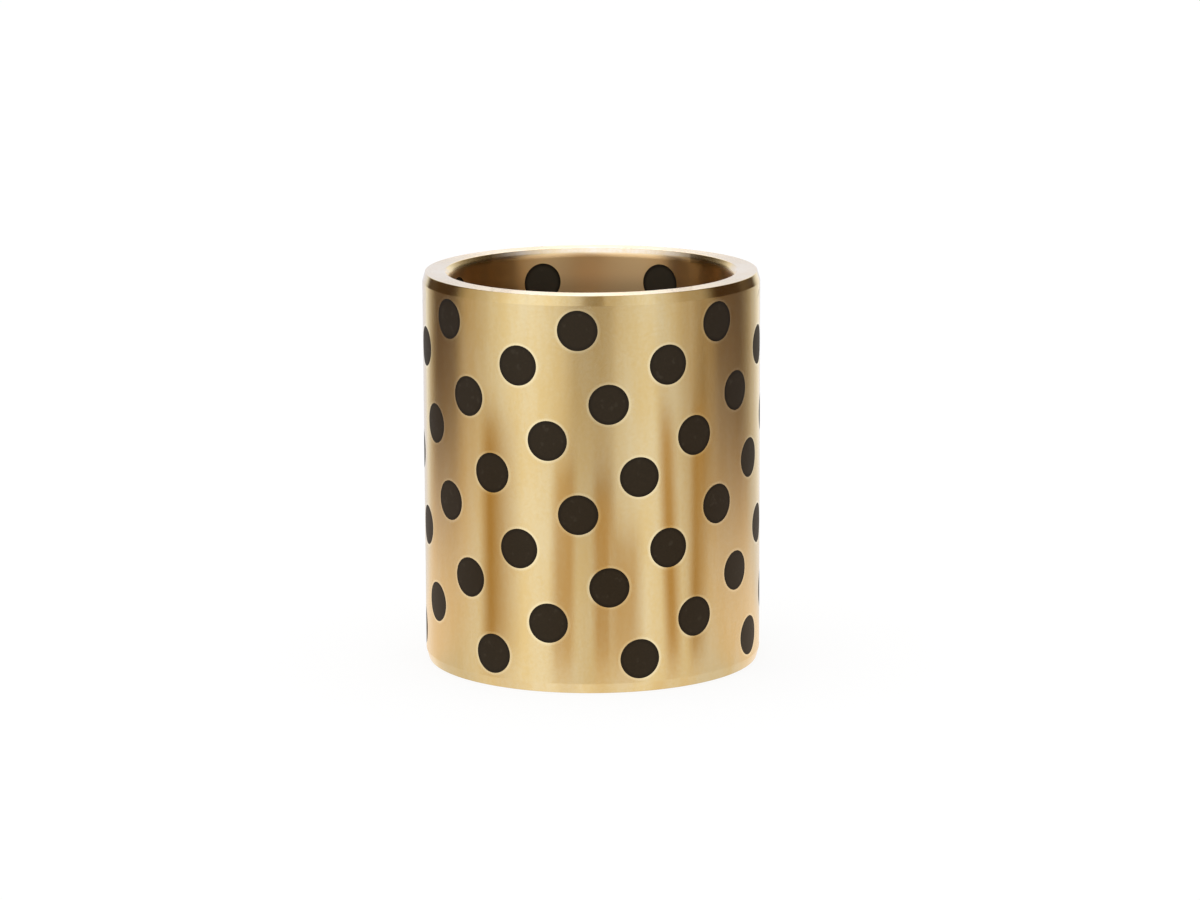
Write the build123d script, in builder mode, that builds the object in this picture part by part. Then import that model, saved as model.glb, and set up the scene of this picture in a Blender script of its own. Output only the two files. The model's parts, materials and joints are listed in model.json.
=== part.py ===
from build123d import *
import os

# Graphite plugged bushing: a machined bronze sleeve whose wall is drilled through in a
# staggered lattice, with a graphite plug bonded into every hole and turned flush at both ends.
# Millimetres. The sleeve stands on the plane Z = 0, the bore runs along +Z, and the first
# line of plugs faces -Y.

# Sleeve
bore_diameter = 100.0
wall = 10.0
length = 140.0
bore_chamfer = 2.0          # 45 degree break at both mouths of the bore
lead_in_length = 3.5        # shallow cone at both ends of the outside, for pressing in
lead_in_depth = 1.0         # how far that cone comes in at the end face

# Plugs
plug_diameter = 14.0
bond_gap = 0.03             # glue line between a plug and its hole, on the radius
end_margin = 12.0           # from an end face to the centres of the nearest ring of plugs
rings = 10
plugs_per_ring = 7
rings_per_repeat = 5        # rings down to the next plug on the same line
steps_per_ring = 2          # each ring is turned back by this many line spacings

bore_radius = bore_diameter / 2
outside_radius = bore_radius + wall
ring_pitch = (length - 2 * end_margin) / (rings - 1)
lines = plugs_per_ring * rings_per_repeat
line_spacing = 360 / lines


def plug_planes(line):
    """Planes on the axis, one for each plug of a line, facing out along the plug."""
    turned = Plane.XY.rotated((0, 0, line * line_spacing))
    return [
        Plane(origin=(0, 0, length - end_margin - ring * ring_pitch), x_dir=turned.x_dir, z_dir=-turned.y_dir)
        for ring in range(rings)
        if (line + steps_per_ring * ring) % rings_per_repeat == 0
    ]


os.makedirs("parts", exist_ok=True)

# Sleeve: half of its section, turned about the axis, then drilled through at every plug.
with BuildPart() as bronze_sleeve:
    with BuildSketch(Plane.XZ):
        with BuildLine():
            Polyline(
                (bore_radius + bore_chamfer, 0),
                (outside_radius - lead_in_depth, 0),
                (outside_radius, lead_in_length),
                (outside_radius, length - lead_in_length),
                (outside_radius - lead_in_depth, length),
                (bore_radius + bore_chamfer, length),
                (bore_radius, length - bore_chamfer),
                (bore_radius, bore_chamfer),
                close=True,
            )
        make_face()
    revolve(axis=Axis.Z)
    drill_planes = [plane.offset(bore_radius - wall) for line in range(lines) for plane in plug_planes(line)]
    with BuildSketch(*drill_planes):
        Circle(plug_diameter / 2 + bond_gap)
    extrude(amount=3 * wall, mode=Mode.SUBTRACT)

bronze_sleeve.part.label = "bronze_sleeve"
export_step(bronze_sleeve.part, "parts/bronze_sleeve.step")

# Plugs: the blanks of one line, cut back to the wall so that their ends follow both of its faces.
for line in range(lines):
    with BuildPart() as plug_line:
        with BuildSketch(*[plane.offset(bore_radius - wall) for plane in plug_planes(line)]):
            Circle(plug_diameter / 2)
        extrude(amount=3 * wall)
        with BuildSketch(Plane.XY):
            Circle(outside_radius)
            Circle(bore_radius, mode=Mode.SUBTRACT)
        extrude(amount=length, mode=Mode.INTERSECT)

    name = f"plug_line_{line + 1:02d}"
    plug_line.part.label = name
    export_step(plug_line.part, f"parts/{name}.step")
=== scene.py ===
import json
import math

import bpy
import numpy as np
from mathutils import Matrix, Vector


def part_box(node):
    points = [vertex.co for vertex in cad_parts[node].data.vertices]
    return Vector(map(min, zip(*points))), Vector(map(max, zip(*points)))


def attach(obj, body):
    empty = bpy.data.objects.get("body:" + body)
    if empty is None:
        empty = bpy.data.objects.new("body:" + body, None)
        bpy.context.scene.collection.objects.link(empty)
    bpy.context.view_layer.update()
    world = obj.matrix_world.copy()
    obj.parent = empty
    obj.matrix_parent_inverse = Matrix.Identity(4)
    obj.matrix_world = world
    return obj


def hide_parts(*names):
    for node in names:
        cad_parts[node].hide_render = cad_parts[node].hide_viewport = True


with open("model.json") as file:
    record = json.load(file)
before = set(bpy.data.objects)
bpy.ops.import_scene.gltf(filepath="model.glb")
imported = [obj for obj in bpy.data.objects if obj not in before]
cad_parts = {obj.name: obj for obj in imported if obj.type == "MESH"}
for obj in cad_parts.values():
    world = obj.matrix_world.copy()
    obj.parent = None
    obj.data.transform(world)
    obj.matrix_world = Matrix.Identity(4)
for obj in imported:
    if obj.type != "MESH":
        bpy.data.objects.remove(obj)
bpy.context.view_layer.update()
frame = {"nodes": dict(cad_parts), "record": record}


# ---------------------------------------------------------------------------------------------
# Bronze sleeve. A centrifugally cast tube of high-strength bronze, turned all over on a lathe,
# with chamfered mouths to its bore and a shallow lead-in cone at both ends of the outside.
# Seventy holes are drilled square through its wall, in rings that each turn back from the last.

MM = 0.001
sleeve_low, sleeve_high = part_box("bronze_sleeve")
outer_radius = (sleeve_high[0] - sleeve_low[0]) / 2
length = sleeve_high[2] - sleeve_low[2]
middle = length / 2
fits = {mount["name"]: mount["dims"] for mount in frame["record"]["mounts"] if mount["dims"]}
bore_radius = fits["bore"]["r_mm"] * MM
bore_chamfer = (length - fits["bore"]["length_mm"] * MM) / 2
lead_in_length = (length - fits["outside"]["length_mm"] * MM) / 2
lead_in_depth = 1.0 * MM

# How far the turned corners of an end are rounded: the bore's with its chamfer, the chamfer's with
# the face, the face's with the lead-in, and the lead-in's with the wall.
corner_radii = np.array([3.0, 0.6, 0.25, 0.25]) * MM
corner_steps = 6

# The drilled lattice, read off the plugs to a hundredth of a millimetre. A node holds the two plugs
# of one line along the sleeve, and a ring has a plug on every fifth line.
line_names = sorted(name for name in frame["nodes"] if name.startswith("plug_line_"))
line_boxes = [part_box(name) for name in line_names]
line_angle = 2 * math.pi / len(line_names)
plug_radius = round((line_boxes[0][1][0] - line_boxes[0][0][0]) / 2, 5)
bond_gap = 0.03 * MM
hole_radius = plug_radius + bond_gap
plugs_per_line = 2
lines_per_plug = 5
lines_back = 2                  # by which each ring is turned back from the one above
plugs_per_ring = len(line_names) // lines_per_plug
rings = plugs_per_line * lines_per_plug
top_ring = round(max(high[2] for low, high in line_boxes) - plug_radius, 5)
bottom_ring = round(min(low[2] for low, high in line_boxes) + plug_radius, 5)
ring_pitch = (top_ring - bottom_ring) / (rings - 1)

# The wall is made in slanted cells, one round each hole. A cell's two sides are the ways from a
# plug to the plug next below it on the left and to the one two rings below it on the right.
side_points = 16
hole_rows, plain_rows = 5, 2    # of squares between a cell's middle and its border
cell_sides = np.array([[-lines_back * line_angle, -ring_pitch], [line_angle, -2 * ring_pitch]])
angle_steps = len(line_names) * side_points * 4     # once round, which the border points keep to
angle_step = 2 * math.pi / angle_steps

# The cells reach to the second border point past the corner of the end rings' cells, just short
# of the lead-in. From there on the ends are turned sections.
drilled_reach = top_ring - middle + ring_pitch / 2 + 2 * ring_pitch / side_points
tiny = 1e-9


def around(radius, angle, height):
    """Points round the axis: the radius turned by the angle from -Y towards +X, at the height."""
    radius, angle, height = np.broadcast_arrays(radius, angle, height)
    return np.stack([radius * np.sin(angle), -radius * np.cos(angle), height], axis=-1)


def lattice(ring_numbers):
    """Angle and height of the places in some rings, counted from the top one."""
    ring, plug = (part.ravel() for part in np.meshgrid(ring_numbers, np.arange(plugs_per_ring)))
    angle = (lines_per_plug * plug - lines_back * ring) * line_angle
    return np.stack([angle, top_ring - ring * ring_pitch], axis=-1)


def cells(places, drilled):
    """Hubs and border points of the cells round some places, in angle and height, going round
    anticlockwise seen from outside. A drilled cell's hub is its place, another's is the mean of its
    border points within reach. A point out of reach is drawn in along its spoke from the hub."""
    run = np.arange(side_points) / side_points - 0.5
    half = np.full(side_points, 0.5)
    sides = [(run, -half), (half, run), (-run, half), (-half, -run)]
    shares = np.concatenate([np.stack(side, axis=-1) for side in sides])
    border = places[:, None] + shares @ cell_sides
    within = abs(border[..., 1:] - middle) < drilled_reach + tiny
    if drilled:
        hub = places[:, None]
    else:
        hub = (border * within).sum(1, keepdims=True) / within.sum(1, keepdims=True)
    spoke = border - hub
    room = drilled_reach - np.sign(spoke[..., 1:]) * (hub[..., 1:] - middle)
    border = hub + spoke * np.minimum(1, room / np.maximum(abs(spoke[..., 1:]), tiny))
    border[..., 0] = np.round(border[..., 0] / angle_step) * angle_step
    return hub, border


def hole_edge(hub, border, radius):
    """Edge of each hole on a wall: the point of the circle that looks towards the border point. Its
    offset sideways is the sine of its angle times the wall's radius."""
    away = border - hub
    way = np.arctan2(away[..., 1], outer_radius * away[..., 0])
    sideways = np.arcsin(hole_radius * np.cos(way) / radius)
    return hub + np.stack([sideways, hole_radius * np.sin(way)], axis=-1), way


def wall(inner, border, radius, facing, rows):
    """A stretch of wall between an inner loop and a border: straight blends of the two, laid on the
    radius. It faces out of the sleeve if facing is 1, and into the bore if it is -1."""
    share = np.linspace(0, 1, rows + 1)[::facing, None, None]
    angle, height = np.moveaxis(inner[:, None] * (1 - share) + border[:, None] * share, -1, 0)
    return around(radius, angle, height), around(facing, angle, 0)


def section(corners, radii):
    """A turned section with rounded inner corners. Each corner becomes an arc that starts short of
    it by the radius times the tangent of half the bend. The free side is on the left of its way."""
    corners = np.array(corners)
    step = np.diff(corners, axis=0)
    heading = np.unwrap(np.arctan2(step[:, 1], step[:, 0]))
    bend = np.diff(heading)[:, None]
    before = heading[:-1, None]
    along = np.stack([np.cos(before), np.sin(before)], axis=-1)
    radius = np.reshape(radii, (-1, 1, 1))
    start = corners[1:-1, None] - along * radius * np.tan(abs(bend) / 2)[..., None]
    turned = before + bend * np.linspace(0, 1, corner_steps + 1)
    swing = np.stack([np.sin(turned) - np.sin(before), np.cos(before) - np.cos(turned)], axis=-1)
    arcs = start + radius * np.sign(bend)[..., None] * swing
    points = np.concatenate([corners[:1], arcs.reshape(-1, 2), corners[-1:]])
    turned = np.concatenate([heading[:1], turned.ravel(), heading[-1:]])
    return points, np.stack([-np.sin(turned), np.cos(turned)], axis=-1)


def turned_end(corners, radii, angles):
    """An end of the sleeve: its section carried round the axis through the given angles."""
    points, normals = section(corners, radii)
    return tuple(around(part[:, :1], angles, part[:, 1:]) for part in (points, normals))


def triangles(rows):
    """Cuts a surface into triangles. Its points lie in rows that run once round, and each square
    between two rows is cut from its first corner to its third."""
    first, second = rows[..., :-1, :, :], rows[..., 1:, :, :]
    squares = np.stack([first, second, np.roll(second, -1, -2), np.roll(first, -1, -2)], axis=-2)
    return squares[..., [[0, 1, 2], [0, 2, 3]], :].reshape(-1, 3, 3)


def sew(name, surfaces):
    """A piece made of surfaces, each given as points and normals. Points that round to the same
    micron become one, triangles that close up to nothing are left out, and each corner keeps its
    own surface's normal."""
    corners = np.concatenate([triangles(points) for points, normals in surfaces])
    full_normals = [np.broadcast_to(normals, points.shape) for points, normals in surfaces]
    facings = np.concatenate([triangles(normals) for normals in full_normals])
    microns = np.round(corners.reshape(-1, 3) * 1e6).astype(np.int64)
    _, first, index = np.unique(microns, axis=0, return_index=True, return_inverse=True)
    faces = index.reshape(-1, 3)
    kept = (faces != np.roll(faces, 1, axis=1)).all(axis=1)
    mesh = bpy.data.meshes.new(name)
    mesh.from_pydata(corners.reshape(-1, 3)[first], [], faces[kept])
    mesh.polygons.foreach_set("use_smooth", np.ones(kept.sum(), bool))
    mesh.normals_split_custom_set(facings[kept].reshape(-1, 3))
    piece = bpy.data.objects.new(name, mesh)
    bpy.context.scene.collection.objects.link(piece)
    return piece


def set_mark(mesh, name, values):
    """Leaves a number at each point of a mesh, under a name that its finish can read."""
    mesh.attributes.new(name, "FLOAT", "POINT").data.foreach_set("value", np.ravel(values))


def mark_bond_line(piece):
    """Gives each point its distance from the nearest bond line, which is how far the point lies off
    the axis of the nearest hole, less the plug's radius."""
    points = np.empty(3 * len(piece.data.vertices))
    piece.data.vertices.foreach_get("co", points)
    points = points.reshape(-1, 3)
    angle, height = lattice(np.arange(rings)).T
    sideways = points @ around(1, angle + math.pi / 2, 0).T
    off_hole = np.hypot(sideways, points[:, 2:] - height)
    off_hole[points @ around(1, angle, 0).T < 0] = outer_radius     # holes on the far side
    set_mark(piece.data, "from_bond", abs(off_hole.min(axis=1) - plug_radius))


holes, hole_borders = cells(lattice(np.arange(rings)), drilled=True)
hubs, plain_borders = cells(lattice([-2, -1, rings, rings + 1]), drilled=False)
outer_edge, way = hole_edge(holes, hole_borders, outer_radius)
bore_edge, way = hole_edge(holes, hole_borders, bore_radius)
hub_loops = np.broadcast_to(hubs, plain_borders.shape)

surfaces = [
    wall(outer_edge, hole_borders, outer_radius, 1, hole_rows),
    wall(bore_edge, hole_borders, bore_radius, -1, hole_rows),
    wall(hub_loops, plain_borders, outer_radius, 1, plain_rows),
    wall(hub_loops, plain_borders, bore_radius, -1, plain_rows),
]

# The wall of a hole runs straight from its edge in the bore to its edge outside. It faces its axis.
edges = ((bore_radius, bore_edge), (outer_radius, outer_edge))
hole_walls = [around(radius, *np.moveaxis(edge, -1, 0)) for radius, edge in edges]
away = around(np.cos(way), holes[..., 0] + math.pi / 2, np.sin(way))
surfaces.append((np.stack(hole_walls, axis=1), -away[:, None]))

# The ends: up the bore, over its chamfer, across the face and down the lead-in, in radius and
# height from the middle, and the same turned over. Their columns start at the cells' border points.
upper_end = [
    (bore_radius, drilled_reach),
    (bore_radius, middle - bore_chamfer),
    (bore_radius + bore_chamfer, middle),
    (outer_radius - lead_in_depth, middle),
    (outer_radius, middle - lead_in_length),
    (outer_radius, drilled_reach),
]
borders = np.concatenate([hole_borders, plain_borders]).reshape(-1, 2)
for side in (1, -1):
    on_rim = abs(borders[:, 1] - middle - side * drilled_reach) < tiny
    rim = np.unique(np.round(borders[on_rim, 0] / angle_step) % angle_steps) * angle_step
    end = [(radius, middle + side * height) for radius, height in upper_end[::side]]
    surfaces.append(turned_end(end, corner_radii[::side], rim))

sleeve = sew("sleeve", surfaces)
mark_bond_line(sleeve)


class Shade:
    """A number, colour or vector that varies over a surface. Arithmetic on numbers adds their Math
    nodes, and node() adds any other node."""

    def __init__(self, tree, socket=None):
        self.tree, self.socket = tree, socket

    def node(self, kind, settings, inputs, output=0):
        """Adds a node to the same tree: first its settings, then its sockets' values or links."""
        made = self.tree.nodes.new(kind)
        for name, setting in settings.items():
            if name == "stops":
                ramp = made.color_ramp
                while len(ramp.elements) < len(setting):
                    ramp.elements.new(0)
                for stop, (place, colour) in zip(ramp.elements, setting):
                    stop.position = place
                    stop.color = (*colour, 1)
            else:
                setattr(made, name, setting)
        for name, value in inputs.items():
            if isinstance(value, Shade):
                self.tree.links.new(value.socket, made.inputs[name])
            else:
                made.inputs[name].default_value = value
        return Shade(self.tree, made.outputs[output]) if made.outputs else None

    def maths(self, operation, *numbers):
        return self.node("ShaderNodeMath", {"operation": operation}, dict(enumerate(numbers)))

    def __add__(self, other):
        return self.maths("ADD", self, other)

    __radd__ = __add__

    def __mul__(self, other):
        return self.maths("MULTIPLY", self, other)

    __rmul__ = __mul__

    def __sub__(self, other):
        return self.maths("SUBTRACT", self, other)

    def __rsub__(self, other):
        return self.maths("SUBTRACT", other, self)

    def __truediv__(self, other):
        return self.maths("DIVIDE", self, other)

    def __rtruediv__(self, other):
        return self.maths("DIVIDE", other, self)

    def __pow__(self, other):
        return self.maths("POWER", self, other)

    def __rpow__(self, other):
        return self.maths("POWER", other, self)

    def __neg__(self):
        return self * -1

    def __abs__(self):
        return self.maths("ABSOLUTE", self)

    def split(self):
        """The three numbers of a vector."""
        parts = self.node("ShaderNodeSeparateXYZ", {}, {"Vector": self}).socket.node.outputs
        return [Shade(self.tree, part) for part in parts]

    def join(self, y, z):
        """The vector of this number and two more."""
        return self.node("ShaderNodeCombineXYZ", {}, {"X": self, "Y": y, "Z": z})

    def between(self, low, high, first=0.0, last=1.0):
        """Eases from the first value, where this is low, to the last, where it is high."""
        settings = {"interpolation_type": "SMOOTHSTEP"}
        inputs = {"Value": self, "From Min": low, "From Max": high, "To Min": first, "To Max": last}
        return self.node("ShaderNodeMapRange", settings, inputs)

    def blend(self, first, second):
        """The first colour where this is 0 and the second where it is 1."""
        inputs = {0: self, 6: first, 7: second}
        return self.node("ShaderNodeMix", {"data_type": "RGBA"}, inputs, output=2)

    def noise(self, scale, detail=2.0, roughness=0.5):
        """Fractal noise from 0 to 1 at this position."""
        inputs = {"Vector": self, "Scale": scale, "Detail": detail, "Roughness": roughness}
        return self.node("ShaderNodeTexNoise", {}, inputs)

    def mark(self, name):
        """The number that a mesh has under this name."""
        return self.node("ShaderNodeAttribute", {"attribute_name": name}, {}, output="Fac")


def new_place(owner, coordinate="Object"):
    """Empties the nodes of a material or world, and gives the place of each point that it shows."""
    owner.use_nodes = True
    owner.node_tree.nodes.clear()
    return Shade(owner.node_tree).node("ShaderNodeTexCoord", {}, {}, output=coordinate)


def in_bore(radius):
    """A mask of the bore, which fades out where its wall bends into the chamfer."""
    return radius.between(bore_radius + 0.1 * MM, bore_radius + 0.6 * MM, 1.0, 0.0)


# Turned bronze: bright, a little warm, with fine rings left by the tool on the walls and the end
# faces. They spread a reflection along the axis and hardly round it. The casting shows through as
# faint clouds of colour, and boring leaves a duller finish than turning.
cast_brown, cast_yellow = (0.79, 0.60, 0.285, 1), (0.82, 0.69, 0.43, 1)
burnished_highlight = (0.93, 0.81, 0.53, 1)
bored_bronze = (0.94, 0.65, 0.33, 1)
painted_shade_brown = (0.22, 0.15, 0.09, 1)
black = (0, 0, 0, 1)
painted_face_shade = 0.07
bore_roughness, wall_roughness, lead_in_polish = 0.32, 0.20, 0.08
mark_scale, drift_scale = 2200, 6       # across the turning marks, and round the sleeve
cloud_scale, cloud_draw = 90, 22        # across the sleeve, and along it
bronze_grain_scale = 900.0
mark_depth = 0.04 * MM
bond_line_width = 0.2 * MM
highlight_ring_width = 1.3 * MM
shade_from_end = 16 * MM, 8 * MM         # where the painted shade in the bore has its full cover, and starts
shade_cover = 0.35

bronze = bpy.data.materials.new("turned_bronze")
place = new_place(bronze)
x, y, z = place.split()
radius = (x * x + y * y) ** 0.5
off_middle = abs(z - middle)
bored = in_bore(radius)
lead_in_start = middle - lead_in_length
on_lead_in = off_middle.between(lead_in_start - 0.2 * MM, lead_in_start + 0.2 * MM)
on_lead_in *= radius.between(outer_radius - lead_in_depth - 0.3 * MM, outer_radius - lead_in_depth)
on_face = off_middle.between(middle - 0.4 * MM, middle - 0.1 * MM)

# The marks are noise on radius and height alone, which drifts slowly round the sleeve.
mark_place = (radius * mark_scale + x * drift_scale).join(z * mark_scale + y * drift_scale, x * 5)
turning_marks = mark_place.noise(1.0, detail=3.0, roughness=0.6)
cloud_place = (x * cloud_scale).join(y * cloud_scale, z * cloud_draw)
clouds = cloud_place.noise(1.0, detail=5.0, roughness=0.6)
grain = place.noise(bronze_grain_scale)

# Round each plug a pale ring is burnished, and painted as a highlight. Deep in the bore, towards
# the middle, the colour is painted darker as shade.
bronze_colour = (clouds + (grain - 0.5) * 0.35).between(0.25, 0.75).blend(cast_brown, cast_yellow)
# The pale ring is partly burnishing and partly a painted highlight on the edge of each hole.
painted_highlight_ring = place.mark("from_bond").between(bond_line_width, highlight_ring_width, 1.0, 0.0)
bronze_colour = painted_highlight_ring.blend(bronze_colour, burnished_highlight)
bronze_colour = bored.blend(bronze_colour, bored_bronze)
shade_full, shade_start = (middle - distance for distance in shade_from_end)
painted_bore_shade = bored * off_middle.between(shade_full, shade_start, shade_cover, 0.0)
bronze_colour = painted_bore_shade.blend(bronze_colour, painted_shade_brown)
# The end faces are painted a little darker, as shade.
bronze_colour = (on_face * painted_face_shade).blend(bronze_colour, black)
roughness = bored * (bore_roughness - wall_roughness) + wall_roughness - on_lead_in * lead_in_polish
relief = {"Strength": 0.12, "Distance": mark_depth, "Height": turning_marks}
bump = place.node("ShaderNodeBump", {}, relief)
bronze_shader = place.node(
    "ShaderNodeBsdfPrincipled",
    {},
    {
        "Base Color": bronze_colour,
        "Metallic": 1.0,
        "Roughness": roughness + (turning_marks - 0.5) * 0.03 + (clouds - 0.5) * 0.04,
        "Anisotropic": 1.0,
        "Anisotropic Rotation": 0.25,
        "Coat Weight": 0.4,
        "Coat Roughness": 0.15,
        "Normal": bump,
    },
)
bronze_shader.node("ShaderNodeOutputMaterial", {}, {"Surface": bronze_shader})
sleeve.data.materials.append(bronze)

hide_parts("bronze_sleeve")
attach(sleeve, "root")


# ---------------------------------------------------------------------------------------------
# Graphite plugs. Sticks of graphite with solid lubricant, bonded into the holes and turned off
# flush with both walls of the sleeve, so that their ends are part of its outside and of its bore.

edge_points = 56
cap_rows = 3


def plug(angle, height):
    """A plug: from the middle of its outer end out to the edge, down its side and in to the middle
    of its end in the bore. The ends are rings of growing radius laid on the walls."""
    turn = np.arange(edge_points) / edge_points * 2 * math.pi
    reach = np.linspace(0, plug_radius, cap_rows + 1)[:, None]

    def end(wall_radius):
        side = angle + np.arcsin(reach * np.cos(turn) / wall_radius)
        return around(wall_radius, side, height + reach * np.sin(turn)), around(1, side, 0)

    outer, outer_facing = end(outer_radius)
    bore, bore_facing = end(bore_radius)
    flank = np.stack([outer[-1], bore[-1]])
    return [
        (outer, outer_facing),
        (flank, around(np.cos(turn), angle + math.pi / 2, np.sin(turn))),
        (bore[::-1], -bore_facing[::-1]),
    ]


# Matt graphite: near black and a little warm, with a fine grain, paler flecks and the same turning
# marks. It is darkest where the resin soaks into its edge, and boring leaves it a little paler.
dark_grain, pale_grain = (0.008, 0.005, 0.002, 1), (0.016, 0.010, 0.0045, 1)
fleck_colour = (0.035, 0.028, 0.019, 1)
bored_graphite = (0.036, 0.031, 0.022, 1)
soaked_graphite = (0.001, 0.0005, 0.0003, 1)
fleck_share, bored_share = 0.5, 0.6
graphite_roughness = 0.56
graphite_grain_scale, fleck_scale = 1500.0, 420.0
grain_depth = 0.06 * MM
soaked_width = 1.6 * MM

graphite = bpy.data.materials.new("graphite")
place = new_place(graphite)
x, y, z = place.split()
radius = (x * x + y * y) ** 0.5
turning_marks = (radius * mark_scale).join(z * mark_scale, x * 30 + y * 30).noise(1.0)
grain = place.noise(graphite_grain_scale, detail=3.0, roughness=0.65)
flecks = place.noise(fleck_scale).between(0.60, 0.72)
graphite_colour = grain.between(0.3, 0.7).blend(dark_grain, pale_grain)
graphite_colour = (flecks * fleck_share).blend(graphite_colour, fleck_colour)
graphite_colour = (in_bore(radius) * bored_share).blend(graphite_colour, bored_graphite)
soaked = place.mark("from_bond").between(bond_line_width, soaked_width, 1.0, 0.0)
graphite_colour = soaked.blend(graphite_colour, soaked_graphite)
relief = {"Strength": 0.35, "Distance": grain_depth, "Height": grain * 0.7 + turning_marks * 0.3}
bump = place.node("ShaderNodeBump", {}, relief)
graphite_shader = place.node(
    "ShaderNodeBsdfPrincipled",
    {},
    {
        "Base Color": graphite_colour,
        "Roughness": graphite_roughness + (grain - 0.5) * 0.2,
        "Specular IOR Level": 0.42,
        "Specular Tint": (1.0, 0.84, 0.64, 1),
        "Normal": bump,
    },
)
graphite_shader.node("ShaderNodeOutputMaterial", {}, {"Surface": graphite_shader})

for number, (name, (low, high)) in enumerate(zip(line_names, line_boxes)):
    upper_ring = round((top_ring - high[2] + plug_radius) / ring_pitch)
    heights = [top_ring - ring * ring_pitch for ring in (upper_ring, upper_ring + lines_per_plug)]
    surfaces = [surface for height in heights for surface in plug(number * line_angle, height)]
    plugs = sew(name.replace("plug", "graphite"), surfaces)
    mark_bond_line(plugs)
    plugs.data.materials.append(graphite)
    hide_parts(name)
    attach(plugs, "root")


# ---------------------------------------------------------------------------------------------
# Room. Tall panels of board and cloth that stand round the table: a white backdrop behind, a
# softbox on each side of the front with a gap for the camera between them, and a dark flag beyond
# each softbox. Only reflections show them, and all else is lit by plain white.

camera_turn = math.radians(4.575)       # of the whole room, about the axis of the sleeve
backdrop_brightness = 1.0

# Edges of the panels, going round from behind on the left: the two bearings between which the
# brightness changes, in degrees to the right of the camera, by how much it changes, and how far
# the edge leans to the right by the zenith.
panel_edges = [
    (-153.5, -122.5, -0.84, -26),       # backdrop to left flag
    (-110, -93, 0.33, 0),               # left softbox, dimmer on its far side
    (-98, -46, 0.47, 0),
    (-48, -18, -0.30, 36),              # gap in front
    (-21.5, -18, -0.26, 36),
    (15.4, 18.4, 0.21, -20),            # right softbox
    (18, 42, 0.26, 0),
    (41, 49, -0.20, 0),                 # right flag, darkest on its far side
    (48, 79, -0.21, -10),
    (84, 102, -0.31, -20),
    (112.5, 142.5, 0.40, 24),           # backdrop
    (124.5, 169.5, 0.45, 24),
]
# What a panel gives at each brightness: warm where dim, white where bright.
panel_tones = [
    (0.16, (0.06, 0.032, 0.013)),
    (0.5, (0.50, 0.41, 0.28)),
    (0.96, (1.12, 1.09, 1.0)),
    (1.0, (0.90, 0.91, 1.02)),
]
softbox_white = (0.90, 0.89, 0.86, 1)
glow_tone = (3.6, 3.45, 3.5, 1)         # of a lamp behind the middle of the backdrop
skirting_tone = (0.06, 0.032, 0.013, 1)  # of the dark foot of the backdrop, on both sides
ceiling_tone = (1.3, 1.4, 2.0, 1)
white = (1, 1, 1, 1)
ripples_per_degree, ripple_depth = 0.16, 0.14

world = bpy.data.worlds.new("studio")
bpy.context.scene.world = world
gaze = new_place(world, "Generated")
turn_back = {"Vector": gaze, "Angle": -camera_turn}
x, y, z = gaze.node("ShaderNodeVectorRotate", {"rotation_type": "Z_AXIS"}, turn_back).split()
bearing = x.maths("ARCTAN2", x, -y) * (180 / math.pi)
from_front = abs(bearing)
ripple = (bearing * ripples_per_degree).join(0, 0).noise(1.0, detail=3.0, roughness=0.7)
brightness = backdrop_brightness + (ripple - 0.5) * ripple_depth
for start, end, change, lean in panel_edges:
    brightness += (bearing - z * lean).between(start, end, 0.0, change)
panels = brightness.node("ShaderNodeValToRGB", {"stops": panel_tones}, {"Fac": brightness})
right_softbox = bearing.between(12, 30) - bearing.between(44, 70)
panels = (right_softbox * 0.5).blend(panels, softbox_white)
glow = z.between(0.27, 0.50) * from_front.between(162, 178)
panels = glow.blend(panels, glow_tone)
at_sides = from_front.between(112, 124) - from_front.between(142, 156)
skirting = at_sides * z.between(0.08, 0.13, 1.0, 0.0)
panels = skirting.blend(panels, skirting_tone)
overhead = (z - x * 0.08).between(0.66, 1.02)
mirrored = gaze.node("ShaderNodeLightPath", {}, {}, output="Is Glossy Ray")
room = mirrored.blend(white, overhead.blend(panels, ceiling_tone))
sky = room.node("ShaderNodeBackground", {}, {"Color": room, "Strength": 1.0})
sky.node("ShaderNodeOutputWorld", {}, {"Surface": sky})


# ---------------------------------------------------------------------------------------------
# Table. A pale glossy board that the bushing stands on, white to the eye but for the shadow. What
# mirrors it sees the panels in it, and near the bushing the light that the bronze throws on it.

table_half = 6.0
near_tone, far_tone = (1.0, 0.84, 0.68, 1), (1.0, 0.70, 0.52, 1)
front_tone, back_tone = (1.05, 0.98, 0.87, 1), (0.85, 0.80, 0.76, 1)
table_white, table_gloss = (0.92, 0.92, 0.92, 1), (0.9, 0.9, 0.9, 1)
pool_ahead, pool_radius, pool_edge = 0.1, 0.20, 0.62
plain_share, plain_strength = 0.82, 1.03

table_mesh = bpy.data.meshes.new("table")
table_corners = table_half * np.array([(-1, -1, 0), (1, -1, 0), (1, 1, 0), (-1, 1, 0)])
table_mesh.from_pydata(table_corners, [], [(0, 1, 2, 3)])
table = bpy.data.objects.new("table", table_mesh)
bpy.context.scene.collection.objects.link(table)
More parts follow.
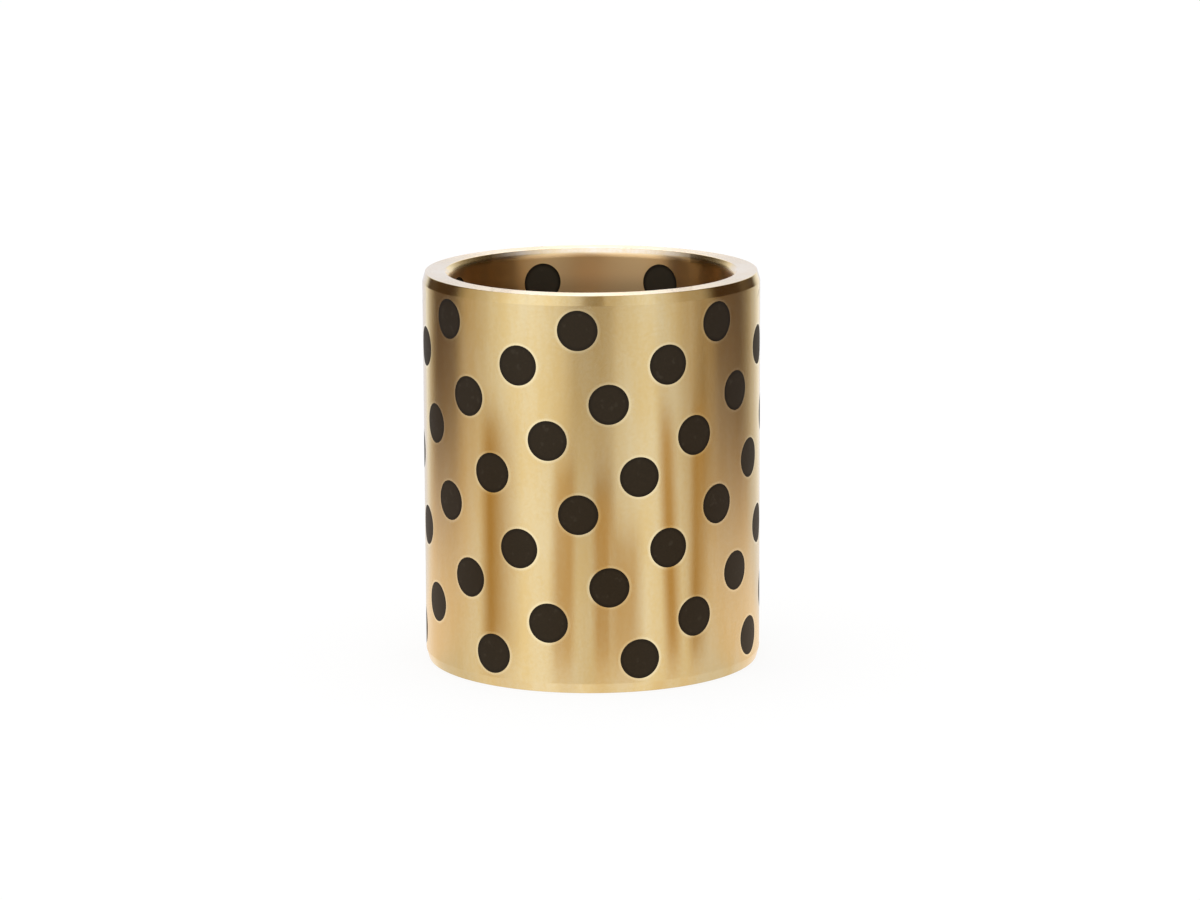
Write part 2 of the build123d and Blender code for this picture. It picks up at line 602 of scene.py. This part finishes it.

# The painted pool of light lies a little in front, where it is whiter. Painted shade keeps it
# dark under the bore.
pale_table = bpy.data.materials.new("pale_table")
place = new_place(pale_table)
x, y, z = place.split()
from_axis = (x * x + y * y) ** 0.5
forward = -y / from_axis
in_front = forward.between(0.0, 0.6)
ahead = y + pool_ahead
near = ((x * x + ahead * ahead) ** 0.5).between(pool_radius, pool_edge, 0.95, 0.05)
pool_tone = near.blend(far_tone, near_tone)
pool_tone = in_front.blend(pool_tone, front_tone)
pool_tone = forward.between(-0.5, -0.8).blend(pool_tone, back_tone)
pool_tone = from_axis.between(bore_radius, outer_radius, 0.95, 0.0).blend(pool_tone, black)
pool = place.node("ShaderNodeEmission", {}, {"Color": pool_tone, "Strength": 1.0})
gloss = place.node("ShaderNodeBsdfAnisotropic", {}, {"Color": table_gloss, "Roughness": 0.05})
lit_share = near * (1 - in_front * 0.22)
reflected = place.node("ShaderNodeMixShader", {}, {0: lit_share, 1: gloss, 2: pool})

# To the camera, the board is mostly plain white. What is left is lit, and takes the shadow.
whiteness = place.node("ShaderNodeLightPath", {}, {}, output="Is Camera Ray") * plain_share
lit = place.node("ShaderNodeBsdfDiffuse", {}, {"Color": table_white})
plain = place.node("ShaderNodeEmission", {}, {"Color": white, "Strength": plain_strength})
seen = place.node("ShaderNodeMixShader", {}, {0: whiteness, 1: lit, 2: plain})
mirrored = place.node("ShaderNodeLightPath", {}, {}, output="Is Glossy Ray")
surface = place.node("ShaderNodeMixShader", {}, {0: mirrored, 1: seen, 2: reflected})
surface.node("ShaderNodeOutputMaterial", {}, {"Surface": surface})
table_mesh.materials.append(pale_table)


# ---------------------------------------------------------------------------------------------
# Cards. Upright glowing strips of gold card in front of the bushing, which its wall mirrors low
# down as painted reflections of other bushings at its foot, and two dark cards over it that paint
# shade on the sides of its bore.
# They are thin veils with soft sides, and only reflections show them.

# Gold cards, from the left: the bearings on the wall, in degrees to the right of the camera, where
# the mirrored card fades in, is full, is no longer full and has faded out. Then how far off the
# wall it stands and how high up the wall it is mirrored, in millimetres, how thick its veil is, how
# bright it is, and how many degrees its top is mirrored to the right of its foot.
gold_cards = [
    (-42, -37.5, -36.5, -23.5, 45, 87, 1.0, 0.88, 0),
    (-15.5, -12, -8, -5.5, 45, 70, 0.7, 1.0, 1),
    (-0.5, 2, 5.5, 8.5, 45, 66, 0.85, 1.0, 0),
    (5.5, 8.5, 14, 18.5, 45, 46, 0.7, 1.0, 0),
    (24.5, 27.5, 29, 32.5, 45, 88, 0.95, 1.0, -2.5),
    (33.5, 36.5, 37.5, 43, 45, 92, 0.9, 0.85, 1.5),
    (36.5, 41, 42, 48, 270, 84, 0.95, 0.45, 0),
]
gold = (0.52, 0.31, 0.09, 1)

# Dark cards: how far they stand to each side of the axis, how far back their veil starts, is full,
# is no longer full and ends, and the heights of their lower and upper edges.
dark_aside = 36 * MM
dark_back = np.array([8, 20, 30, 42]) * MM
dark_heights = np.array([[137], [190]]) * MM
dark_sheen = 0.05

card_columns = 13
column = np.linspace(0, 3, card_columns)        # 0 and 3 are a card's sides, and 1 to 2 is full
full = np.interp(column, range(4), (0, 1, 1, 0))

# A card that the wall mirrors at an angle hangs off the wall there in the direction of twice that
# angle, which is the way a ray from the camera is turned.
strips, veils, sheens = [], [], []
for *edges, off_wall, top, cover, sheen, slant in gold_cards:
    seen_at = np.radians(np.interp(column, range(4), edges) + np.array([[0], [slant]]))
    foot = around(outer_radius, seen_at + camera_turn, np.array([[0], [top * MM]]))
    strips.append(foot + around(off_wall * MM, 2 * seen_at + camera_turn, 0))
    veils.append([cover * full] * 2)
    sheens.append(np.full((2, card_columns), sheen))
for side in (-1, 1):
    across, back = side * dark_aside, np.interp(column, range(4), dark_back)
    seen_at = np.arctan2(across, -back) + camera_turn
    strips.append(around(np.hypot(across, back), seen_at, dark_heights))
    veils.append([full] * 2)
    sheens.append(np.full((2, card_columns), dark_sheen))
strips = np.array(strips)
number = np.arange(strips[..., 0].size).reshape(strips.shape[:3])
low, high = number[:, 0], number[:, 1]
quads = np.stack([low[:, :-1], low[:, 1:], high[:, 1:], high[:, :-1]], axis=-1).reshape(-1, 4)
card_mesh = bpy.data.meshes.new("gold_cards")
card_mesh.from_pydata(strips.reshape(-1, 3), [], quads)
set_mark(card_mesh, "veil", veils)
set_mark(card_mesh, "sheen", sheens)
cards = bpy.data.objects.new("gold_cards", card_mesh)
bpy.context.scene.collection.objects.link(cards)

gold_card = bpy.data.materials.new("gold_card")
place = new_place(gold_card)
clear = place.node("ShaderNodeBsdfTransparent", {}, {})
card_tone = place.mark("sheen").blend(black, gold)
lit_card = place.node("ShaderNodeEmission", {}, {"Color": card_tone, "Strength": 1.0})
surface = place.node("ShaderNodeMixShader", {}, {0: place.mark("veil"), 1: clear, 2: lit_card})
surface.node("ShaderNodeOutputMaterial", {}, {"Surface": surface})
card_mesh.materials.append(gold_card)
cards.visible_camera = False
cards.visible_diffuse = False
cards.visible_shadow = False


# ---------------------------------------------------------------------------------------------
# Lamp. A large round softbox hung over the table, a little to the left and in front. It gives the
# bushing its faint shadow, and isn't mirrored.

softbox_size = 1.6
softbox_power = 3.0
softbox_place = (-0.3, -0.2, 2.2)
softbox_tilt = (math.radians(-5), math.radians(-8), 0)

softbox = bpy.data.lights.new("overhead_softbox", "AREA")
softbox.shape = "DISK"
softbox.size = softbox_size
softbox.energy = softbox_power
lamp = bpy.data.objects.new("overhead_softbox", softbox)
lamp.location = softbox_place
lamp.rotation_euler = softbox_tilt
lamp.visible_glossy = False
bpy.context.scene.collection.objects.link(lamp)


# ---------------------------------------------------------------------------------------------
# Camera. It stands a metre and a half off the front on a long lens, and looks a little down on the
# bushing from above its top.

film_width, lens = 36.0, 129.81         # millimetres
camera_place = (2.87 * MM, -1519.5 * MM, 375.65 * MM)
look_down, roll = math.radians(11.206), math.radians(-0.240)

camera_data = bpy.data.cameras.new("camera")
camera_data.sensor_width = film_width
camera_data.lens = lens
camera = bpy.data.objects.new("camera", camera_data)
bpy.context.scene.collection.objects.link(camera)
camera.matrix_world = (
    Matrix.Rotation(camera_turn, 4, "Z")
    @ Matrix.Translation(camera_place)
    @ Matrix.Rotation(math.pi / 2 - look_down, 4, "X")
    @ Matrix.Rotation(roll, 4, "Z")
)
bpy.context.scene.camera = camera
bpy.context.scene.view_settings.view_transform = "Standard"
